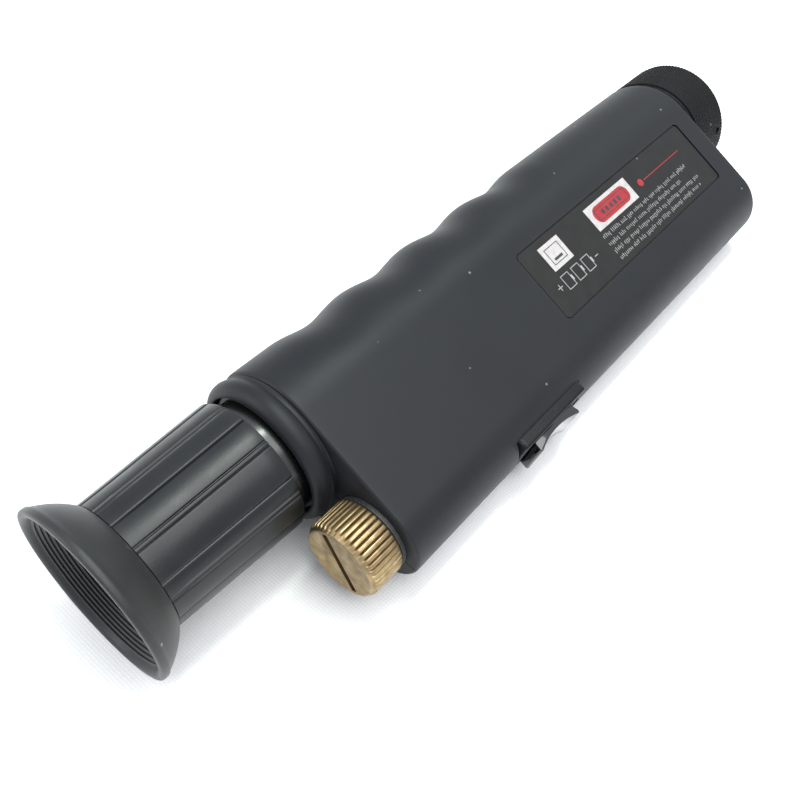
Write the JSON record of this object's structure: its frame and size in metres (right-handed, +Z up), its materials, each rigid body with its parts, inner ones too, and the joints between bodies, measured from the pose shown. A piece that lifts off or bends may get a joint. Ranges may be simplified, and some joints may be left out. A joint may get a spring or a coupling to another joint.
{
  "type": "fibre-optic inspection microscope",
  "caption": "Hand-held optical-fibre end-face microscope: eyecup, ribbed eyepiece, teardrop body with finger grooves, rocker switch, screw battery cap and knurled focus ring.",
  "frame": {"origin": "mouth of the ferrule bore, on the optical axis at the objective end", "axes": "+X out of the ferrule bore along the optical axis, +Z up with the body lying on its lower flank, +Y towards the finger grooves"},
  "size_m": [0.1981, 0.0541, 0.0352],
  "materials": {
    "eyecup_rubber": "matt soft rubber",
    "seal_rubber": "matt rubber",
    "sleeve_plastic": "satin moulded plastic, ribbed",
    "tube_metal": "black anodised, polished",
    "inner_tube": "black anodised",
    "black_metal": "matt black anodised",
    "lens_glass": "coated optical glass",
    "filter_glass": "blue-green infrared blocking glass",
    "housing_plastic": "fine-textured soft-touch black",
    "steel_screw": "black oxide steel",
    "bushing_metal": "black anodised",
    "brass": "turned, lightly tarnished",
    "ring_metal": "black anodised, knurled",
    "adapter_metal": "turned, satin",
    "spring_steel": "nickel-plated",
    "cell_steel": "bright nickel-plated steel",
    "switch_plastic": "satin black nylon",
    "rocker_plastic": "glossy black",
    "board": "green solder mask",
    "led_lens": "clear water-white epoxy",
    "chip_plastic": "black epoxy",
    "wire_red": "red insulation",
    "wire_black": "black insulation",
    "label_film": "printed satin film"
  },
  "bodies": {
    "housing": {"housing_upper": "housing_plastic", "housing_lower": "housing_plastic", "collar_ring": "housing_plastic", "housing_screws": "steel_screw", "optical_tube": "inner_tube", "safety_filter": "filter_glass", "splitter_holder": "black_metal", "beam_splitter": "lens_glass", "front_bushing": "bushing_metal", "battery_tube": "tube_metal", "button_cells": "cell_steel", "battery_spring": "spring_steel", "rear_contact": "spring_steel", "switch_housing": "switch_plastic", "rocker_pivot": "spring_steel", "switch_terminals": "spring_steel", "circuit_board": "board", "lamp_led": "led_lens", "driver_chip": "chip_plastic", "board_resistors": "chip_plastic", "supply_wire": "wire_red", "lamp_wire": "wire_black", "label_plate": "label_film"},
    "eyepiece_draw": {"eyepiece_tube": "tube_metal", "lens_retaining_ring": "black_metal", "eye_lens": "lens_glass", "lens_spacer": "black_metal", "field_lens": "lens_glass", "field_stop": "black_metal"},
    "eyepiece_grip": {"eyepiece_sleeve": "sleeve_plastic", "eyecup": "eyecup_rubber"},
    "focus_ring": {"focus_ring": "ring_metal", "set_screw": "steel_screw"},
    "objective": {"objective_carriage": "black_metal", "objective_lens": "lens_glass", "focus_pin": "brass"},
    "adapter": {"ferrule_adapter": "adapter_metal"},
    "cap_plunger": {"cap_contact": "spring_steel"},
    "battery_cap": {"battery_cap": "brass", "cap_seal": "seal_rubber"},
    "rocker": {"rocker": "rocker_plastic"}
  },
  "joints": [
    {"name": "eyepiece_slide", "type": "slide", "parent": "housing", "child": "eyepiece_draw", "axis": [1, 0, 0], "range_m": [-0.002, 0.002]},
    {"name": "eyepiece_turn", "type": "hinge", "parent": "eyepiece_draw", "child": "eyepiece_grip", "pos_m": [-0.1781, 0, 0], "axis": [1, 0, 0], "range_deg": [-180, 180]},
    {"name": "focus_turn", "type": "hinge", "parent": "housing", "child": "focus_ring", "pos_m": [-0.0131, 0, 0], "axis": [1, 0, 0], "range_deg": [-150, 150]},
    {"name": "objective_slide", "type": "slide", "parent": "housing", "child": "objective", "axis": [1, 0, 0], "range_m": [-0.0015, 0.0015]},
    {"name": "adapter_pull", "type": "slide", "parent": "housing", "child": "adapter", "axis": [1, 0, 0], "range_m": [0, 0.01]},
    {"name": "cap_advance", "type": "slide", "parent": "housing", "child": "cap_plunger", "axis": [-1, 0, 0], "range_m": [0, 0.004]},
    {"name": "cap_turn", "type": "hinge", "parent": "cap_plunger", "child": "battery_cap", "pos_m": [-0.1601, -0.02329, -0.00538], "axis": [-1, 0, 0], "range_deg": [0, 1440]},
    {"name": "rocker_tilt", "type": "hinge", "parent": "housing", "child": "rocker", "pos_m": [-0.1142, -0.0302, -0.00697], "axis": [0, -0.225, 0.9744], "range_deg": [-7, 7]}
  ],
  "couplings": [
    {"joint": "eyepiece_turn", "follows": "eyepiece_slide", "rad_per_m": 1570.7},
    {"joint": "focus_turn", "follows": "objective_slide", "rad_per_m": 1745.3},
    {"joint": "cap_turn", "follows": "cap_advance", "rad_per_m": 6283.1}
  ]
}
